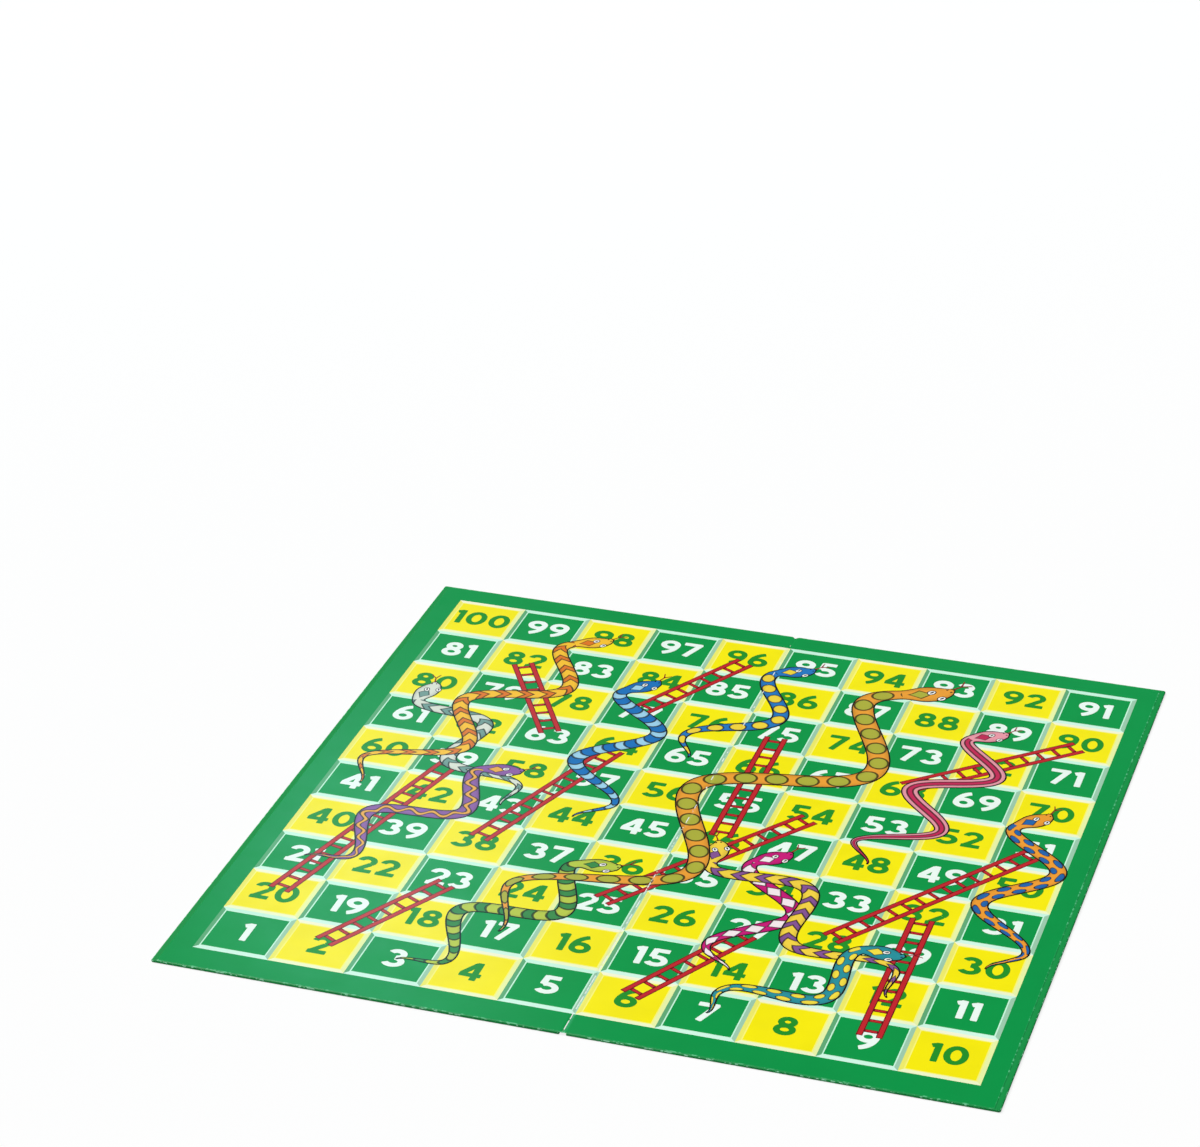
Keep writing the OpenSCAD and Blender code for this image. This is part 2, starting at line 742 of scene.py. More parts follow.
@dataclass(frozen=True)
class HingeWeave:
    """Dark green bookcloth of fine plain weave."""

    colour: Rgba = ink(14, 124, 60)
    # Darker colour between the threads: painted shade in the weave's hollows
    hollow: Rgba = ink(6, 70, 34)
    roughness: float = 0.72
    sheen: float = 0.3
    thread: float = 0.45 * MM
    thread_spread: Pair = (-0.9, 0.9)
    thread_share: float = 0.75
    thread_roughness: float = 0.1
    thread_depth: float = 0.05 * MM
    slub: Mottle = Mottle(3 * MM, 2.0, (1, 0.15, 1))
    slub_share: float = 0.2

    def material(self) -> bpy.types.Material:
        """Makes the weave from two crossed sets of threads, with painted shade in the hollows
        between them.

        Returns:
            The finished material.
        """
        shader = Shader("hinge_bookcloth")
        turn = math.tau / (2 * self.thread)
        warp = (shader.x * turn).sine()
        weft = (shader.y * turn).sine()
        over = (warp * weft).ramp(*self.thread_spread)
        shown = over * self.thread_share + shader.noise(self.slub) * self.slub_share
        # Thread colour over the painted shade of the hollows, with random slubs
        shader.set(
            Base_Color=shader.mix(shown, self.hollow, self.colour),
            Roughness=over * self.thread_roughness + self.roughness,
            Specular_IOR_Level=self.sheen,
        )
        shader.bump(over, self.thread_depth)
        return shader.material


@dataclass(frozen=True)
class Greyboard:
    """Pressed board of mixed waste paper, with dark and pale specks."""

    colour: Rgba = ink(150, 139, 122)
    shade: Rgba = ink(118, 108, 94)
    dark_speck: Rgba = ink(70, 62, 56)
    pale_speck: Rgba = ink(196, 190, 178)
    roughness: float = 0.82
    sheen: float = 0.25
    fibres: Mottle = Mottle(1.2 * MM, 4.0, (1, 0.4, 1))
    fibre_share: float = 0.5
    fibre_roughness: float = 0.1
    fibre_depth: float = 0.06 * MM
    dark: Mottle = Mottle(0.7 * MM, spread=(0.66, 0.74))
    dark_share: float = 0.7
    pale: Mottle = Mottle(1.0 * MM, 2.0, (0.6, 1, 1), (0.68, 0.76))

    def material(self) -> bpy.types.Material:
        """Makes the board.

        Returns:
            The finished material.
        """
        shader = Shader("pressed_greyboard")
        fibres = shader.noise(self.fibres)
        pulp = shader.mix(fibres * self.fibre_share, self.colour, self.shade)
        specked = shader.mix(shader.noise(self.dark) * self.dark_share, pulp, self.dark_speck)
        shader.set(
            Base_Color=shader.mix(shader.noise(self.pale), specked, self.pale_speck),
            Roughness=fibres * self.fibre_roughness + self.roughness,
            Specular_IOR_Level=self.sheen,
        )
        shader.bump(fibres, self.fibre_depth)
        return shader.material


class Bench:
    """Modelling steps that several pieces share."""

    @staticmethod
    def clear() -> None:
        """Deselects everything."""
        bpy.ops.object.select_all(action="DESELECT")

    @staticmethod
    def only(piece: bpy.types.Object) -> None:
        """Makes one piece the selected and active one.

        Args:
            piece: The piece.
        """
        Bench.clear()
        piece.select_set(True)
        bpy.context.view_layer.objects.active = piece

    @staticmethod
    def named(piece: bpy.types.Object, name: str) -> bpy.types.Object:
        """Names a piece and its mesh alike, and gives it back."""
        piece.name = piece.data.name = name
        return piece

    @staticmethod
    @contextmanager
    def editing(piece: bpy.types.Object, select: bool = True) -> Iterator[None]:
        """Holds a piece in edit mode.

        Args:
            piece: The piece to edit.
            select: True to start with all of it selected.

        Yields:
            Nothing.
        """
        Bench.only(piece)
        bpy.ops.object.mode_set(mode="EDIT")
        if select:
            bpy.ops.mesh.select_all(action="SELECT")
        yield
        bpy.ops.object.mode_set(mode="OBJECT")

    @staticmethod
    def pick_nothing(piece: bpy.types.Object, edges: bool) -> None:
        """Deselects all of a mesh before some of it is picked.

        Args:
            piece: The piece.
            edges: True to pick edges next, else points.
        """
        mesh = piece.data
        bpy.context.tool_settings.mesh_select_mode = (not edges, edges, False)
        for group in (mesh.vertices, mesh.edges, mesh.polygons):
            group.foreach_set("select", [False] * len(group))

    @staticmethod
    def round_edges(
        piece: bpy.types.Object,
        radius: float,
        segments: int,
        wanted: Callable[[Vector, Vector], bool],
    ) -> None:
        """Rounds some edges of a piece.

        Args:
            piece: The piece.
            radius: How far the rounding reaches.
            segments: Faces across each rounding.
            wanted: Tells by an edge's two ends whether it is rounded.
        """
        Bench.pick_nothing(piece, edges=True)
        for edge in piece.data.edges:
            first, second = (piece.data.vertices[index] for index in edge.vertices)
            if wanted(first.co, second.co):
                edge.select = first.select = second.select = True
        with Bench.editing(piece, select=False):
            bpy.ops.mesh.bevel(offset=radius, segments=segments, profile=0.5, affect="EDGES")

    @staticmethod
    def round_corners(
        piece: bpy.types.Object,
        radius: float,
        segments: int,
        wanted: Callable[[Vector], bool] | None = None,
    ) -> None:
        """Rounds the corners of a flat piece, seen from above.

        Args:
            piece: The piece.
            radius: How far the rounding reaches.
            segments: Sides of each rounding.
            wanted: Tells by a corner's place whether it is rounded, or nothing to round them all.
        """
        mesh = piece.data
        Bench.pick_nothing(piece, edges=False)
        faces = [0] * len(mesh.vertices)
        for loop in mesh.loops:
            faces[loop.vertex_index] += 1
        for vertex in mesh.vertices:
            is_corner = faces[vertex.index] == 1
            vertex.select = is_corner and (wanted is None or wanted(vertex.co))
        with Bench.editing(piece, select=False):
            bpy.ops.mesh.bevel(offset=radius, segments=segments, affect="VERTICES")

    @staticmethod
    def merge(piece: bpy.types.Object, reach: float = HAIR) -> None:
        """Makes one of the points that lie on each other."""
        with Bench.editing(piece):
            bpy.ops.mesh.remove_doubles(threshold=reach)

    @staticmethod
    def apply(piece: bpy.types.Object, kind: str, **settings: object) -> None:
        """Adds a modifier to a piece and applies it.

        Args:
            piece: The piece.
            kind: The modifier's type.
            settings: The modifier's properties.
        """
        Bench.only(piece)
        bpy.ops.object.modifier_add(type=kind)
        modifier = piece.modifiers[-1]
        for name, value in settings.items():
            setattr(modifier, name, value)
        bpy.ops.object.modifier_apply(modifier=modifier.name)

    @staticmethod
    def strip(
        name: str,
        rows: Sequence[Sequence[Vector]],
        chart: Sequence[Sequence[Pair]] | None = None,
    ) -> bpy.types.Object:
        """Lays a grid along a path. Its faces are numbered row by row.

        Args:
            name: Name of the new piece.
            rows: Rows of points, each across the path and all of one length.
            chart: The same rows on the strip's map, or nothing where it needs no map.

        Returns:
            The flat strip.
        """
        columns, lines = len(rows[0]) - 1, len(rows) - 1
        Bench.clear()
        bpy.ops.mesh.primitive_grid_add(x_subdivisions=columns, y_subdivisions=lines, size=1)
        piece = Bench.named(bpy.context.object, name)
        mesh = piece.data
        cells = []
        for vertex in mesh.vertices:
            row, column = round((vertex.co.y + 0.5) * lines), round((vertex.co.x + 0.5) * columns)
            cells.append((row, column))
            vertex.co = rows[row][column]
        if chart:
            layer = mesh.uv_layers[0]
            layer.name = STRIP_MAP
            for loop, spot in zip(mesh.loops, layer.data):
                row, column = cells[loop.vertex_index]
                spot.uv = chart[row][column]
        return piece

    @staticmethod
    def face_up(piece: bpy.types.Object) -> None:
        """Turns every face of a flat piece upwards.

        Args:
            piece: The piece.
        """
        for polygon in piece.data.polygons:
            if polygon.normal.z < 0:
                polygon.flip()
        piece.data.update()

    @staticmethod
    def slab(piece: bpy.types.Object, thickness: float) -> None:
        """Thickens a flat piece downwards."""
        Bench.face_up(piece)
        Bench.apply(piece, "SOLIDIFY", thickness=thickness, offset=-1.0, use_even_offset=False)

    @staticmethod
    def join(pieces: Sequence[bpy.types.Object], name: str) -> bpy.types.Object:
        """Joins pieces into the first of them.

        Args:
            pieces: The pieces.
            name: Name of what they become.

        Returns:
            The joined piece.
        """
        Bench.only(pieces[0])
        for piece in pieces[1:]:
            piece.select_set(True)
        bpy.ops.object.join()
        return Bench.named(pieces[0], name)

    @staticmethod
    def twin(piece: bpy.types.Object, name: str) -> bpy.types.Object:
        """Copies a piece with its own mesh, free of its body.

        Args:
            piece: The piece to copy.
            name: Name of the copy.

        Returns:
            The copy.
        """
        copy = piece.copy()
        copy.data = piece.data.copy()
        copy.parent = None
        for key in list(copy.keys()):
            del copy[key]
        bpy.context.scene.collection.objects.link(copy)
        return Bench.named(copy, name)

    @staticmethod
    def cut(piece: bpy.types.Object, x: float, keep: Side | None = None) -> None:
        """Cuts a piece along a line beside the fold.

        Args:
            piece: The piece.
            x: Place of the cut.
            keep: The side that is kept and closed, or nothing to keep both joined.
        """
        with Bench.editing(piece):
            bpy.ops.mesh.bisect(
                plane_co=(x, 0, 0),
                plane_no=(1, 0, 0),
                use_fill=keep is not None,
                clear_inner=keep is Side.RIGHT,
                clear_outer=keep is Side.LEFT,
            )


def beside(heading: Vector) -> Vector:
    """The level direction to the right of a heading."""
    return Vector((heading.y, -heading.x, 0)).normalized()


@dataclass
class InkDrawing:
    """Lays drawn figures of thin ink on the sheets, cut in two where they cross the fold."""

    board: Board
    sunk: float = 0.05 * MM
    crease_shares: Sequence[float] = (0.25, 0.5, 0.75, 1.0)

    def settle(self, figure: bpy.types.Object) -> None:
        """Lays a figure on the sheet that carries it, or its two halves on both.

        Args:
            figure: The drawn figure, flat on the playing face.
        """
        places = [vertex.co.x for vertex in figure.data.vertices]
        reach, edge = self.board.crease_reach, self.board.fold_edge
        if min(places) > reach or max(places) < -reach:
            self.lay(figure, Side.RIGHT if min(places) > 0 else Side.LEFT)
            return
        for side in Side:
            if max(side.value * x for x in places) <= edge:
                continue
            half = Bench.twin(figure, side.piece(figure.name))
            Bench.cut(half, side.value * edge, side)
            for share in self.crease_shares:
                Bench.cut(half, side.value * share * reach)
            for vertex in half.data.vertices:
                vertex.co.z -= self.board.crease(vertex.co.x)
            self.lay(half, side)
        bpy.data.objects.remove(figure)

    @staticmethod
    def lay(figure: bpy.types.Object, side: Side) -> None:
        """Gives a figure to the leaf that it lies on.

        Args:
            figure: The figure.
            side: The leaf.
        """
        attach(figure, side.body)
        LOG.info("%s lies on %s", figure.name, side.body)


@dataclass(frozen=True)
class Bar:
    """A straight stroke of a numeral, in shares of its height."""

    start: Pair
    end: Pair

    def line(self) -> list[tuple[Vector, Vector]]:
        """Points along the stroke, each with its direction."""
        start, end = Vector((*self.start, 0)), Vector((*self.end, 0))
        return [(start, end - start), (end, end - start)]


@dataclass(frozen=True)
class Bow:
    """A round stroke of a numeral, in shares of its height and in degrees."""

    centre: Pair
    radii: Pair
    turn: Pair = (0, 360)
    step: float = 9.0

    def line(self) -> list[tuple[Vector, Vector]]:
        """Follows the stroke.

        Returns:
            Points along it, each with its direction.
        """
        begin, end = self.turn
        steps = max(2, round(abs(end - begin) / self.step))
        across, up = self.centre
        wide, high = self.radii
        points = []
        for index in range(steps + 1):
            angle = math.radians(begin + (end - begin) * index / steps)
            cosine, sine = math.cos(angle), math.sin(angle)
            place = Vector((across + wide * cosine, up + high * sine, 0))
            points.append((place, Vector((-wide * sine, high * cosine, 0))))
        return points

    def upside_down(self, width: float) -> "Bow":
        """The same bow in a numeral of that width, turned half round."""
        centre = (width - self.centre[0], 1 - self.centre[1])
        return Bow(centre, self.radii, (self.turn[0] + 180, self.turn[1] + 180))


SIX_WIDTH_SHARE = 0.694
SIX = (Bow((0.347, 0.318), (0.243, 0.214)), Bow((0.66, 0.318), (0.556, 0.655), (180, 107)))
STROKES: dict[str, tuple[Bar | Bow, ...]] = {
    "0": (Bow((0.368, 0.5), (0.264, 0.396)),),
    "1": (Bar((0.27, 0.0), (0.27, 1.0)), Bar((0.27, 0.91), (0.07, 0.82))),
    "2": (
        Bow((0.31, 0.685), (0.228, 0.211), (172, -40)),
        Bar((0.487, 0.545), (0.12, 0.1)),
        Bar((0.02, 0.104), (0.63, 0.104)),
    ),
    "3": (
        Bow((0.28, 0.72), (0.205, 0.176), (160, -90)),
        Bow((0.28, 0.304), (0.255, 0.2), (90, -156)),
    ),
    "4": (
        Bar((0.49, 0.0), (0.49, 1.0)),
        Bar((0.0, 0.29), (0.69, 0.29)),
        Bar((0.45, 0.93), (0.08, 0.33)),
    ),
    "5": (
        Bar((0.6, 0.896), (0.14, 0.896)),
        Bar((0.18, 0.98), (0.14, 0.5)),
        Bow((0.3, 0.315), (0.268, 0.211), (128, -152)),
    ),
    "6": SIX,
    "7": (Bar((0.01, 0.896), (0.65, 0.896)), Bar((0.585, 0.95), (0.22, 0.0))),
    "8": (Bow((0.342, 0.72), (0.195, 0.176)), Bow((0.342, 0.305), (0.238, 0.201))),
    "9": tuple(bow.upside_down(SIX_WIDTH_SHARE) for bow in SIX),
}


@dataclass
class Numerals:
    """The numbers 1 to 100, one on each square, in bold round strokes."""

    drawing: InkDrawing
    white: bpy.types.Material
    green: bpy.types.Material
    height: float = 14.4 * MM
    weight_share: float = 0.208
    gap_share: float = 0.108
    round_share: float = 0.035
    round_segments: int = 3
    off_centre: Pair = (-0.15 * MM, 0.75 * MM)
    lift: float = 0.02 * MM
    digits: dict[str, bpy.types.Object] = field(default_factory=dict)

    def build(self) -> None:
        """Makes each digit once and sets copies of it on all the squares."""
        self.digits = {sign: self.digit(sign, strokes) for sign, strokes in STROKES.items()}
        board = self.drawing.board
        sets: dict[tuple[Side, bool], list[bpy.types.Object]] = {}
        for number in range(1, board.squares_a_side**2 + 1):
            middle = board.square(number)
            side = Side.RIGHT if middle.x > 0 else Side.LEFT
            sets.setdefault((side, number % 2 == 1), []).extend(self.number(number, middle))
        for (side, odd), signs in sets.items():
            ink_word = "white" if odd else "green"
            numbers = Bench.join(signs, side.piece(f"{ink_word}_numerals"))
            numbers.data.materials.append(self.white if odd else self.green)
            self.drawing.lay(numbers, side)
        for digit in self.digits.values():
            bpy.data.objects.remove(digit)

    def digit(self, sign: str, strokes: Sequence[Bar | Bow]) -> bpy.types.Object:
        """Models one digit.

        Args:
            sign: The digit.
            strokes: Its strokes.

        Returns:
            A thin solid with its left foot at the origin.
        """
        half = self.height * self.weight_share / 2
        slabs = []
        for stroke in strokes:
            rows = []
            for place, heading in stroke.line():
                across = beside(heading) * half
                rows.append([place * self.height - across, place * self.height + across])
            slab = Bench.strip(f"stroke_{sign}", rows)
            Bench.merge(slab)
            if (rows[0][0] - rows[-1][0]).length > half:
                Bench.round_corners(slab, self.round_share * self.height, self.round_segments)
            Bench.slab(slab, self.drawing.sunk + self.lift)
            slabs.append(slab)
        for other in slabs[1:]:
            Bench.apply(slabs[0], "BOOLEAN", operation="UNION", solver="EXACT", object=other)
            bpy.data.objects.remove(other)
        left = min(vertex.co.x for vertex in slabs[0].data.vertices)
        slabs[0].data.transform(Matrix.Translation((-left, 0, 0)))
        return slabs[0]

    def number(self, number: int, middle: Vector) -> list[bpy.types.Object]:
        """Sets a number's digits side by side on its square.

        Args:
            number: The number.
            middle: The middle of the square.

        Returns:
            The placed digits.
        """
        signs = str(number)
        widths = [max(v.co.x for v in self.digits[sign].data.vertices) for sign in signs]
        gap = self.gap_share * self.height
        x = middle.x + self.off_centre[0] - (sum(widths) + gap * (len(signs) - 1)) / 2
        y = middle.y + self.off_centre[1] - self.height / 2
        placed = []
        for sign, width in zip(signs, widths):
            copy = Bench.twin(self.digits[sign], f"digit_{sign}")
            copy.data.transform(Matrix.Translation((x, y, middle.z + self.lift)))
            placed.append(copy)
            x += width + gap
        return placed


@dataclass
class Ladder:
    """A drawn ladder from one square to another, with its ends set off by shares of a square."""

    foot: int
    top: int
    foot_off_share: float = 0.1
    top_off_share: float = -0.1
    width: float = 11.5 * MM
    rail: float = 2.9 * MM
    rung: float = 2.2 * MM
    rung_step: float = 8.2 * MM
    outline: float = 0.45 * MM
    lift: float = 0.04 * MM

    def build(
        self, drawing: InkDrawing, paint: bpy.types.Material, line: bpy.types.Material
    ) -> None:
        """Draws the ladder and lays it on the board.

        Args:
            drawing: What lays figures on the sheets.
            paint: Ink of the rails and rungs.
            line: Ink of their outlines.
        """
        board = drawing.board
        start = board.square(self.foot) + Vector((0, self.foot_off_share * board.pitch, self.lift))
        end = board.square(self.top) + Vector((0, self.top_off_share * board.pitch, self.lift))
        length = (end - start).length
        up = (end - start).normalized()
        across = beside(up)
        rail_off = (self.width - self.rail) / 2
        bars = []
        for sign in (-1, 1):
            foot = start + across * (sign * rail_off)
            bars.append(self.bar(foot, up * length, across * self.rail))
        count = max(2, round(length / self.rung_step))
        for index in range(count):
            middle = start + up * (length * (index + 0.5) / count)
            foot = middle - across * (rail_off - self.rail / 2)
            bars.append(self.bar(foot, across * (2 * rail_off - self.rail), up * self.rung))
        ladder = Bench.join(bars, f"ladder_{self.foot}_{self.top}")
        Bench.face_up(ladder)
        ladder.data.materials.append(line)
        ladder.data.materials.append(paint)
        with Bench.editing(ladder):
            bpy.ops.mesh.inset(thickness=self.outline, use_individual=True)
            ladder.active_material_index = 1
            bpy.ops.object.material_slot_assign()
        Bench.slab(ladder, drawing.sunk + self.lift)
        drawing.settle(ladder)

    @staticmethod
    def bar(foot: Vector, along: Vector, thick: Vector) -> bpy.types.Object:
        """Adds one flat bar.

        Args:
            foot: Middle of its lower end.
            along: Its length and direction.
            thick: Its thickness and direction.

        Returns:
            The bar.
        """
        half = thick / 2
        rows = [[end - half, end + half] for end in (foot, foot + along)]
        return Bench.strip("bar", rows)


@dataclass(frozen=True)
class FaceSpot:
    """An oval on both sides of a drawn head, in shares of half the body's width."""

    back: float
    aside: float
    radius: float
    stretch: float
    ink_name: str
    layer: int


SPOT_SIDES = 16
FACE_SPOTS = (
    FaceSpot(1.95, 0.68, 0.36, 1.35, "outline", 1),
    FaceSpot(1.95, 0.68, 0.27, 1.4, "eye_white", 2),
    FaceSpot(1.9, 0.68, 0.1, 2.4, "outline", 3),
    FaceSpot(0.5, 0.26, 0.09, 1.5, "outline", 1),
)
# Ends of the tongue's strokes ahead of the snout and to its right, in the same shares
TONGUE_ROOT, TONGUE_FORK = (-0.1, 0.0), (0.9, 0.0)
TONGUE_SHARES = (
    (TONGUE_ROOT, TONGUE_FORK),
    (TONGUE_FORK, (1.7, -0.5)),
    (TONGUE_FORK, (1.7, 0.5)),
)


def even_steps(curve: Sequence[Vector], step: float) -> list[Vector]:
    """Spaces points evenly along a curve.

    Args:
        curve: Close points of the curve.
        step: About how far apart the new points are.

    Returns:
        The new points, from the curve's start to its end.
    """
    runs = [0.0]
    for first, second in zip(curve, curve[1:]):
        runs.append(runs[-1] + (second - first).length)
    count = round(runs[-1] / step)
    points, at = [], 0
    for index in range(count + 1):
        goal = runs[-1] * index / count
        while at < len(curve) - 2 and runs[at + 1] < goal:
            at += 1
        share = (goal - runs[at]) / (runs[at + 1] - runs[at])
        points.append(curve[at].lerp(curve[at + 1], share))
    return points


@dataclass
class Snake:
    """A drawn snake that winds from its head's square down to its tail's.

    Shares of girth are of half the body's width, and so are the ends of the head and the neck.
    """

    head: int
    tail: int
    skin: str
    sway: float
    bends: float
    half: float = 4.2 * MM
    row_step: float = 1.5 * MM
    outline: float = 0.7 * MM
    lift: float = 0.05 * MM
    layer: float = 0.004 * MM
    spot_layer: float = 0.008 * MM
    spot_share: float = 0.9
    samples: int = 600
    aim_row: int = 3
    head_ease_share: float = 0.16
    tail_ease_share: float = 0.12
    head_end: float = 2.6
    neck_end: float = 5.0
    body_start: float = 10.0
    snout_share: float = 0.3
    snout_power: float = 0.62
    head_share: float = 1.36
    neck_share: float = 0.8
    tail_length_share: float = 0.38
    tail_power: float = 0.8
    tip_share: float = 0.1
    inner_share: float = 0.3
    tongue_share: float = 0.1
    tongue_tip_share: float = 0.06

    def spine(self, board: Board) -> list[Vector]:
        """Gives points down the middle of the body, at even steps after the snout's outline.

        Args:
            board: The board that it lies on.

        Returns:
            The points, from the snout to the tip of the tail.
        """
        start, end = board.square(self.head), board.square(self.tail)
        down = end - start
        across = beside(down)
        curve = []
        for index in range(self.samples + 1):
            share = index / self.samples
            ease = min(1.0, share / self.head_ease_share, (1 - share) / self.tail_ease_share)
            swing = math.sin(math.pi * self.bends * share) * math.sin(math.pi / 2 * ease)
            curve.append(start + down * share + across * (self.sway * swing))
        points = even_steps(curve, self.row_step)
        points[1] = points[0].lerp(points[1], self.outline / self.row_step)
        return points

    def girth(self, run: float, length: float) -> float:
        """Gives half the body's width at a distance from the snout.

        Args:
            run: That distance.
            length: Length of the whole snake.

        Returns:
            Half the width there.
        """
        unit = run / self.half
        if unit < self.head_end:
            swell = math.sin(math.pi / 2 * unit / self.head_end) ** self.snout_power
            return self.half * max(self.snout_share, self.head_share * swell)
        if unit < self.neck_end:
            turn = math.pi * (unit - self.head_end) / (self.neck_end - self.head_end)
            fall = (self.head_share - self.neck_share) * (1 - math.cos(turn)) / 2
            return self.half * (self.head_share - fall)
        growth = min(1.0, (unit - self.neck_end) / (self.body_start - self.neck_end))
        body = self.neck_share + (1 - self.neck_share) * math.sin(math.pi / 2 * growth)
        tail = min(1.0, (length - run) / (self.tail_length_share * length)) ** self.tail_power
        return self.half * body * (self.tip_share + (1 - self.tip_share) * tail)

    def build(
        self, drawing: InkDrawing, inks: dict[str, bpy.types.Material], order: int
    ) -> None:
        """Draws the snake and lays it on the board.

        Args:
            drawing: What lays figures on the sheets.
            inks: The materials, by name.
            order: Its place in the drawing order; later ones lie over earlier ones.
        """
        lift = self.lift + order * self.layer
        spine = [point + Vector((0, 0, lift)) for point in self.spine(drawing.board)]
        last = len(spine) - 1
        rows, chart = [], []
        for index, point in enumerate(spine):
            across = beside(spine[min(last, index + 1)] - spine[max(0, index - 1)])
            run = self.outline if index == 1 else index * self.row_step
            outer = self.girth(run, self.row_step * last)
            inner = max(outer - self.outline, outer * self.inner_share)
            offsets = (-outer, -inner, -inner / 2, 0.0, inner / 2, inner, outer)
            rows.append([point + across * off for off in offsets])
            chart.append([(run / (2 * self.half), 0.5 + 0.5 * off / outer) for off in offsets])
        snake = Bench.strip(f"snake_{self.head}_{self.tail}", rows, chart)
        for name in (self.skin, "outline"):
            snake.data.materials.append(inks[name])
        columns = len(rows[0]) - 1
        for polygon in snake.data.polygons:
            row, column = divmod(polygon.index, columns)
            polygon.material_index = int(row in (0, last - 1) or column in (0, columns - 1))
        Bench.slab(snake, drawing.sunk + lift)
        heading = (spine[0] - spine[self.aim_row]).normalized()
        parts = [snake, *self.eyes(inks, spine[0], heading)]
        parts += self.tongue(inks["tongue"], spine[0], heading, drawing.sunk + lift)
        drawing.settle(Bench.join(parts, snake.name))

    def eyes(
        self, inks: dict[str, bpy.types.Material], snout: Vector, heading: Vector
    ) -> list[bpy.types.Object]:
        """Draws the eyes and nostrils.

        Args:
            inks: The materials, by name.
            snout: Tip of the head.
            heading: The way the head points.

        Returns:
            The separate ovals.
        """
        ovals = []
        for sign in (-1, 1):
            for spot in FACE_SPOTS:
                aside = beside(heading) * (sign * spot.aside)
                middle = snout + (aside - heading * spot.back) * self.half
                middle.z += self.spot_layer * spot.layer
                oval = self.oval(middle, heading, self.half * spot.radius, spot.stretch)
                oval.data.materials.append(inks[spot.ink_name])
                Bench.slab(oval, self.spot_layer * self.spot_share)
                ovals.append(oval)
        return ovals

    def tongue(
        self, red: bpy.types.Material, snout: Vector, heading: Vector, thickness: float
    ) -> list[bpy.types.Object]:
        """Draws the forked tongue.

        Args:
            red: Its ink.
            snout: Tip of the head.
            heading: The way the head points.
            thickness: Thickness of its ink.

        Returns:
            The separate strokes.
        """
        right = beside(heading)
        strokes = []
        for ends in TONGUE_SHARES:
            rows = []
            for (ahead, aside), share in zip(ends, (self.tongue_share, self.tongue_tip_share)):
                middle = snout + (heading * ahead + right * aside) * self.half
                half = right * (self.half * share)
                rows.append([middle - half, middle + half])
            stroke = Bench.strip("tongue", rows)
            stroke.data.materials.append(red)
            Bench.slab(stroke, thickness)
            strokes.append(stroke)
        return strokes

    @staticmethod
    def oval(middle: Vector, heading: Vector, radius: float, stretch: float) -> bpy.types.Object:
        """Adds a flat oval that is longer along the heading.

        Args:
            middle: Its middle.
            heading: The way it points.
            radius: Half its width.
            stretch: Its length over its width.

        Returns:
            The oval.
        """
        Bench.clear()
        bpy.ops.mesh.primitive_circle_add(vertices=SPOT_SIDES, radius=radius, fill_type="NGON")
        oval = bpy.context.object
        turn = Matrix.Rotation(math.atan2(heading.y, heading.x), 4, "Z")
        longer = Matrix.Diagonal((stretch, 1, 1, 1))
        oval.data.transform(Matrix.Translation(middle) @ turn @ longer)
        return oval


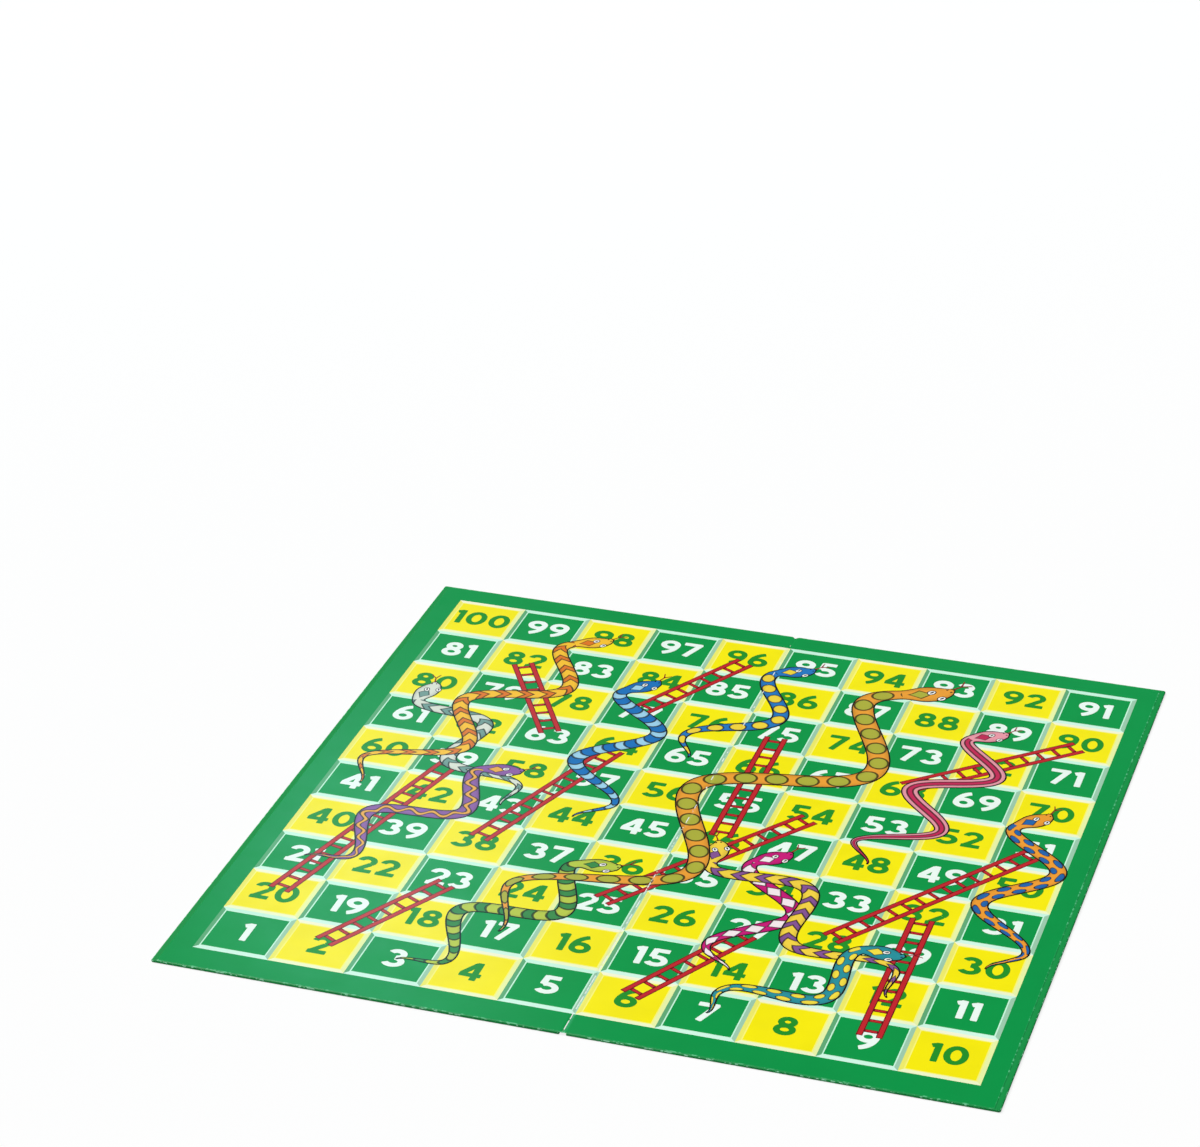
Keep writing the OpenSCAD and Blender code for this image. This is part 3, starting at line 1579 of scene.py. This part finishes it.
@dataclass
class FaceSheet:
    """A printed sheet: flat but for the crease at the fold, with its cut edges pressed down."""

    board: Board
    side: Side
    corner_segments: int = 4
    crease_shares: Sequence[float] = (0.2, 0.35, 0.5, 0.65, 0.8, 1.0)
    edge_spread: float = 0.35 * MM
    back_notch: float = 1.3 * MM
    # Foot and height, on the unit square of the map, of the printed face and of the rest
    face_band: Pair = (0.03, 0.97)
    rest_band: Pair = (0.0, 0.015)

    def build(self, print_: bpy.types.Material) -> bpy.types.Object:
        """Models the sheet and puts it in the place of the frame's plain one.

        Args:
            print_: Its print.

        Returns:
            The sheet.
        """
        board, sign = self.board, self.side.value
        node = self.side.piece("face_sheet")
        low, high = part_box(node)
        if self.side is Side.LEFT:
            high.x = -board.fold_edge
        else:
            low.x = board.fold_edge
        size, middle = high - low, (low + high) / 2
        Bench.clear()
        bpy.ops.mesh.primitive_plane_add(size=1)
        sheet = Bench.named(bpy.context.object, self.side.piece("printed_sheet"))
        scale = Matrix.Diagonal((size.x, size.y, 1, 1))
        sheet.data.transform(Matrix.Translation((middle.x, middle.y, high.z)) @ scale)
        Bench.round_corners(
            sheet,
            board.sheet_corner_r,
            self.corner_segments,
            lambda corner: abs(corner.x) > board.crease_reach,
        )
        for share in self.crease_shares:
            Bench.cut(sheet, sign * share * board.crease_reach)
        for vertex in sheet.data.vertices:
            dip = board.crease(vertex.co.x)
            vertex.co.z -= dip
            if vertex.co.y > middle.y:
                vertex.co.y -= self.back_notch * math.sqrt(dip / board.crease_depth)
        Bench.slab(sheet, size.z)
        self.press_edges(sheet)
        self.chart(sheet, low, size)
        sheet.data.materials.append(print_)
        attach(sheet, self.side.body)
        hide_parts(node)
        return sheet

    def press_edges(self, sheet: bpy.types.Object) -> None:
        """Spreads the foot of the outer edges, which the film presses down onto the wrap.

        Args:
            sheet: The sheet.
        """
        board = self.board
        rim = board.sheet_corner_r
        middle = (board.sheet_top + board.face_z) / 2
        for vertex in sheet.data.vertices:
            if vertex.co.z > middle - board.crease(vertex.co.x):
                continue
            if abs(vertex.co.x) > board.sheet_out - rim:
                vertex.co.x += math.copysign(self.edge_spread, vertex.co.x)
            if abs(vertex.co.y) > board.sheet_half_d - rim:
                vertex.co.y += math.copysign(self.edge_spread, vertex.co.y)

    def chart(self, sheet: bpy.types.Object, low: Vector, size: Vector) -> None:
        """Maps the printed face to most of the unit square, and the rest to a thin band below.

        Args:
            sheet: The sheet.
            low: Its lowest corner.
            size: Its size.
        """
        mesh = sheet.data
        for polygon in mesh.polygons:
            faces_up = polygon.normal.z > 0.5
            foot, height = self.face_band if faces_up else self.rest_band
            for index in polygon.loop_indices:
                place = mesh.vertices[mesh.loops[index].vertex_index].co - low
                spot = (place.x / size.x, foot + height * place.y / size.y)
                mesh.uv_layers[0].data[index].uv = spot


@dataclass
class LeafWrap:
    """The green wrap of a leaf, with its folded edges softly rounded."""

    board: Board
    side: Side
    fold_r: float = 0.35 * MM
    fold_segments: int = 3
    mitre_reach: float = 0.2 * MM
    mitre_closing: float = 0.93
    slack: float = 0.01 * MM
    flat_angle: float = math.radians(0.5)
    smooth_angle: float = math.radians(40)

    def build(self, paper: bpy.types.Material) -> bpy.types.Object:
        """Copies the frame's wrap, rounds its outer folds and takes its place.

        Args:
            paper: The wrap's material.

        Returns:
            The wrap.
        """
        node = self.side.piece("wrap")
        wrap = Bench.twin(bpy.data.objects[node], self.side.piece("wrap_paper"))
        wrap.data.materials.clear()
        with Bench.editing(wrap):
            bpy.ops.mesh.remove_doubles(threshold=HAIR)
            bpy.ops.mesh.dissolve_limited(angle_limit=self.flat_angle)
        self.close_mitres(wrap)
        Bench.round_edges(wrap, self.fold_r, self.fold_segments, self.folded)
        Bench.merge(wrap, 2 * HAIR)
        Bench.only(wrap)
        bpy.ops.object.shade_smooth_by_angle(angle=self.smooth_angle)
        wrap.data.materials.append(paper)
        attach(wrap, self.side.body)
        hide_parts(node)
        return wrap

    def beyond(self, place: Vector) -> Pair:
        """Gives how far a place lies past the middle of the nearest rounded corner.

        Args:
            place: The place.

        Returns:
            The distances along X and Y, outwards.
        """
        board = self.board
        x = abs(place.x) - (board.half_w - board.corner_r)
        y = abs(place.y) - (board.half_d - board.corner_r)
        return x, y

    def close_mitres(self, wrap: bpy.types.Object) -> None:
        """Draws the flaps together along the mitres at the two outer corners, to a hairline.

        Args:
            wrap: The wrap.
        """
        for vertex in wrap.data.vertices:
            x, y = self.beyond(vertex.co)
            off = (x - y) / 2
            if x + y < self.slack and abs(off) < self.mitre_reach:
                vertex.co.x -= math.copysign(self.mitre_closing, vertex.co.x) * off
                vertex.co.y += math.copysign(self.mitre_closing, vertex.co.y) * off

    def folded(self, first: Vector, second: Vector) -> bool:
        """Tells whether an edge is a level outer fold, or an upright one at the channel.

        Args:
            first: One end of the edge.
            second: Its other end.

        Returns:
            True where it is.
        """
        level = abs(first.z - second.z) < self.slack
        at_channel = abs(first.x) < self.board.leaf_in + self.slack
        return self.outer(first) and self.outer(second) and (level or at_channel)

    def outer(self, corner: Vector) -> bool:
        """Tells whether a corner lies on an outer fold of the wrap, above or below.

        Args:
            corner: The corner.

        Returns:
            True where it does.
        """
        board, slack = self.board, self.slack
        x, y = self.beyond(corner)
        outward = math.hypot(max(0, x), max(0, y)) if min(x, y) > -slack else max(x, y)
        on_outline = outward > board.corner_r - slack
        at_channel = abs(corner.x) < board.leaf_in + slack
        return (on_outline or at_channel) and not slack <= corner.z <= board.face_z - slack


@dataclass
class HingeCloth:
    """The strip of bookcloth that bends along the fold."""

    board: Board
    bend_reach: float = 1.3 * MM
    rows: int = 10

    def build(self, weave: bpy.types.Material) -> bpy.types.Object:
        """Models the strip, bends it between the leaves and takes the frame's place.

        Args:
            weave: The cloth's material.

        Returns:
            The strip.
        """
        board = self.board
        reach, half_d = board.crease_reach, board.cloth_half_d
        inner = [reach * (2 * index / self.rows - 1) for index in range(self.rows + 1)]
        rows = []
        for x in (-board.cloth_half_w, *inner, board.cloth_half_w):
            height = board.face_z - board.crease(x)
            rows.append([Vector((x, y, height)) for y in (-half_d, half_d)])
        cloth = Bench.strip("hinge_strip", rows)
        Bench.slab(cloth, board.face_z - board.cloth_low)
        cloth.data.materials.append(weave)
        level = (board.face_z + board.cloth_low) / 2
        start, end = ((sign * self.bend_reach, 0, level) for sign in (1, -1))
        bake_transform(cloth)
        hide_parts("hinge_cloth")
        return cloth


@dataclass(frozen=True)
class LampPanel:
    """A level lamp panel of cool light that faces down, with its size along X and Y."""

    name: str
    place: Triple
    size: Pair
    watts: float
    light: Triple = (0.42, 0.93, 1.0)

    def build(self) -> bpy.types.Object:
        """Adds the panel's lamp.

        Returns:
            The lamp.
        """
        data = bpy.data.lights.new(self.name, "AREA")
        data.shape = "RECTANGLE"
        data.size, data.size_y = self.size
        data.energy = self.watts
        data.color = self.light
        lamp = bpy.data.objects.new(self.name, data)
        lamp.location = self.place
        return lamp


@dataclass
class Studio:
    """Floor, lamps and the camera at the photograph's view. Angles are in degrees."""

    board: Board
    eye_from_print: Triple = (0.4246, -1.4851, 0.89465)
    azimuth: float = -17.541
    elevation: float = 26.494
    roll: float = 0.136
    focal_pixels: float = 3856.8
    picture_width: int = 1200
    sensor: float = 36.0
    far_clip: float = 50.0
    floor_size: float = 60.0
    floor_paint: Rgba = ink(246, 247, 247)
    floor_roughness: float = 0.9
    floor_glow: float = 0.82
    sun_power: float = 3.9
    sun_spread: float = 42
    sun_turns: Triple = (-14, -38, 0)
    panels: Sequence[LampPanel] = (
        LampPanel("left_panel", (-0.64, 1.23, 0.85), (0.26, 0.36), 1.65),
        LampPanel("back_panel", (-0.17, 1.74, 0.85), (0.4, 0.2), 0.2),
    )
    room_glow: float = 0.05

    def build(self) -> None:
        """Sets up the whole studio."""
        scene = bpy.context.scene
        scene.camera = self.camera()
        for thing in (scene.camera, self.sun(), *(panel.build() for panel in self.panels)):
            scene.collection.objects.link(thing)
        scene.world = self.room()
        scene.view_settings.view_transform = "Standard"
        self.floor()

    def camera(self) -> bpy.types.Object:
        """Makes the camera.

        Returns:
            The camera.
        """
        data = bpy.data.cameras.new("photo_view")
        data.sensor_fit = "HORIZONTAL"
        data.sensor_width = self.sensor
        data.lens = self.sensor * self.focal_pixels / self.picture_width
        data.clip_end = self.far_clip
        camera = bpy.data.objects.new("photo_view", data)
        turn = Matrix.Rotation(math.radians(-self.azimuth), 4, "Z")
        tilt = Matrix.Rotation(math.radians(90 - self.elevation), 4, "X")
        roll = Matrix.Rotation(math.radians(self.roll), 4, "Z")
        eye = self.board.print_middle + Vector(self.eye_from_print)
        camera.matrix_world = Matrix.Translation(eye) @ turn @ tilt @ roll
        return camera

    def sun(self) -> bpy.types.Object:
        """Makes the soft sun from the left.

        Returns:
            The lamp.
        """
        data = bpy.data.lights.new("soft_sun", "SUN")
        data.energy = self.sun_power
        data.angle = math.radians(self.sun_spread)
        lamp = bpy.data.objects.new("soft_sun", data)
        lamp.rotation_euler = [math.radians(turn) for turn in self.sun_turns]
        return lamp

    def room(self) -> bpy.types.World:
        """Makes the dim white room.

        Returns:
            The world.
        """
        world = bpy.data.worlds.new("studio_room")
        world.use_nodes = True
        walls = world.node_tree.nodes["Background"]
        walls.inputs["Color"].default_value = (1, 1, 1, 1)
        walls.inputs["Strength"].default_value = self.room_glow
        return world

    def floor(self) -> bpy.types.Object:
        """Adds the plain pale floor, which the camera sees as nearly white with a faint shadow.

        Returns:
            The floor.
        """
        Bench.clear()
        bpy.ops.mesh.primitive_plane_add(size=self.floor_size)
        floor = Bench.named(bpy.context.object, "studio_floor")
        shader = Shader("pale_floor")
        shader.set(
            Base_Color=self.floor_paint, Roughness=self.floor_roughness, Specular_IOR_Level=0.0
        )
        path = shader.node("ShaderNodeLightPath", output="Is Camera Ray")
        seen = path + path.output("Is Glossy Ray") + path.output("Is Transmission Ray")
        white = shader.node("ShaderNodeEmission", None, {"Color": (1, 1, 1, 1), "Strength": 1.0})
        matt = Signal(shader, shader.surface.outputs[0])
        share = seen.least(1.0) * self.floor_glow
        floor_look = shader.node("ShaderNodeMixShader", None, {0: share, 1: matt, 2: white})
        shader.feed(shader.tree.nodes["Material Output"].inputs["Surface"], floor_look)
        floor.data.materials.append(shader.material)
        return floor


LADDERS = (
    Ladder(2, 23),
    Ladder(6, 27),
    Ladder(9, 32),
    Ladder(20, 59),
    Ladder(25, 54),
    Ladder(28, 51),
    Ladder(38, 64),
    Ladder(46, 75),
    Ladder(63, 82),
    Ladder(68, 90),
    Ladder(77, 96),
)

SNAKES = (
    Snake(80, 43, "pale_chevrons", sway=13 * MM, bends=4.0),
    Snake(98, 41, "amber_chevrons", sway=16 * MM, bends=5.0),
    Snake(84, 44, "blue_rings", sway=15 * MM, bends=4.0),
    Snake(58, 21, "lilac_wave", sway=14 * MM, bends=4.0),
    Snake(47, 14, "magenta_diamonds", sway=15 * MM, bends=3.0),
    Snake(89, 48, "rose_stripe", sway=15 * MM, bends=5.0),
    Snake(70, 30, "orange_dots", sway=14 * MM, bends=4.0),
    Snake(46, 12, "violet_chevrons", sway=15 * MM, bends=4.0),
    Snake(29, 7, "teal_dots", sway=13 * MM, bends=3.0),
    Snake(36, 3, "lime_rings", sway=15 * MM, bends=4.0),
    Snake(95, 65, "blue_saddles", sway=14 * MM, bends=3.0),
    Snake(93, 17, "olive_saddles", half=5.6 * MM, sway=26 * MM, bends=5.0),
)

# Name, marking, ink of the back and ink of the marks of each snake's skin
SKINS = (
    ("amber_chevrons", Marking.CHEVRONS, ink(252, 196, 48), ink(226, 120, 32)),
    ("blue_rings", Marking.RINGS, ink(32, 116, 190), ink(160, 212, 238)),
    ("lilac_wave", Marking.WAVE, ink(146, 92, 166), ink(240, 172, 74)),
    ("magenta_diamonds", Marking.DIAMONDS, ink(206, 28, 124), ink(250, 236, 240)),
    ("rose_stripe", Marking.STRIPE, ink(240, 158, 172), ink(196, 44, 88)),
    ("orange_dots", Marking.DOTS, ink(244, 160, 52), ink(38, 104, 176)),
    ("teal_dots", Marking.DOTS, ink(44, 148, 160), ink(250, 226, 70)),
    ("lime_rings", Marking.RINGS, ink(186, 204, 70), ink(60, 140, 70)),
    ("blue_saddles", Marking.SADDLES, ink(40, 122, 196), ink(246, 214, 64)),
    ("pale_chevrons", Marking.CHEVRONS, ink(222, 228, 214), ink(120, 158, 150)),
    ("violet_chevrons", Marking.CHEVRONS, ink(248, 214, 70), ink(136, 86, 150)),
    ("olive_saddles", Marking.SADDLES, ink(240, 162, 54), ink(176, 178, 62)),
)

PLAIN_INKS = {
    "white_numeral": ink(240, 254, 246),
    "green_numeral": ink(36, 147, 42),
    "ladder_red": ink(196, 38, 46),
    "ladder_line": ink(104, 18, 22),
    "outline": OUTLINE,
    "eye_white": ink(250, 250, 246),
    "tongue": ink(150, 24, 36),
}


def figure_inks(laminate: Laminate) -> dict[str, bpy.types.Material]:
    """Makes the inks of the numerals, the ladders and the snakes.

    Args:
        laminate: The film over them.

    Returns:
        The materials, by name.
    """
    inks = {skin[0]: SnakeSkin(*skin, laminate).material() for skin in SKINS}
    for name, colour in PLAIN_INKS.items():
        inks[name] = FlatInk(f"{name}_ink", colour, laminate).material()
    return inks


def main() -> None:
    """Builds the board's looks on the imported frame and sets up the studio."""
    logging.basicConfig(level=logging.INFO, format="%(name)s: %(message)s")
    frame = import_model()
    Bench.clear()
    board = Board.from_frame()
    Studio(board).build()
    laminate = Laminate(board)
    print_ = PlayingFacePrint(laminate).material()
    paper = WrapPaper(board).material()
    greyboard = Greyboard().material()
    for side in Side:
        sheet = FaceSheet(board, side).build(print_)
        wrap = LeafWrap(board, side).build(paper)
        core = frame["nodes"][side.piece("core")]
        core.data.materials.clear()
        core.data.materials.append(greyboard)
        LOG.info("%s, %s and %s are dressed", sheet.name, wrap.name, core.name)
    cloth = HingeCloth(board).build(HingeWeave().material())
    LOG.info("%s joins the leaves", cloth.name)
    drawing = InkDrawing(board)
    inks = figure_inks(laminate)
    Numerals(drawing, inks["white_numeral"], inks["green_numeral"]).build()
    for ladder in LADDERS:
        ladder.build(drawing, inks["ladder_red"], inks["ladder_line"])
    for order, snake in enumerate(SNAKES):
        snake.build(drawing, inks, order)


if __name__ == "__main__":
    main()
